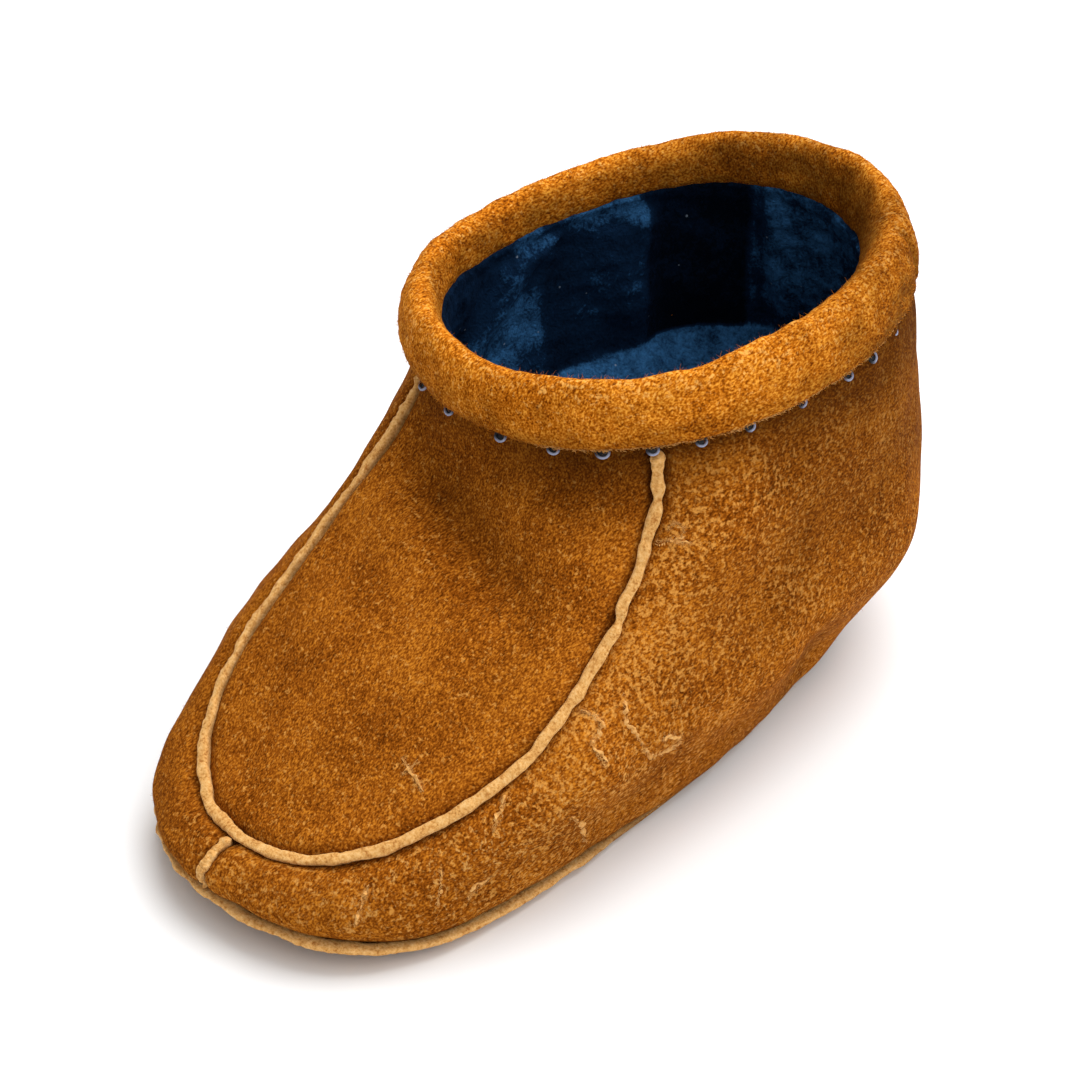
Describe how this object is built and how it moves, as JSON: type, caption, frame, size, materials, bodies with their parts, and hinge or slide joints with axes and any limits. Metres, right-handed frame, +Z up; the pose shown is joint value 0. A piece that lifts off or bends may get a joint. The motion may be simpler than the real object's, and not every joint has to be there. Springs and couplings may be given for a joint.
{
  "type": "moccasin slipper",
  "caption": "Soft child's moccasin slipper for the left foot: hollow suede upper with a raised apron seam, rolled collar, fleece footbed and thin flat sole.",
  "frame": {"origin": "on the floor under the middle of the sole", "axes": "toe towards -Y, heel towards +Y, the foot's outer side towards +X, +Z up"},
  "size_m": [0.071, 0.1398, 0.0743],
  "materials": {
    "suede": "napped suede",
    "sole_suede": "worn suede",
    "raw_edge": "cut edge",
    "fleece": "soft pile"
  },
  "bodies": {
    "root": {"outsole": "sole_suede", "insole": "fleece", "upper": "suede", "collar_roll": "suede", "apron_welt": "raw_edge", "toe_welt": "raw_edge", "sole_welt": "raw_edge"}
  },
  "joints": []
}
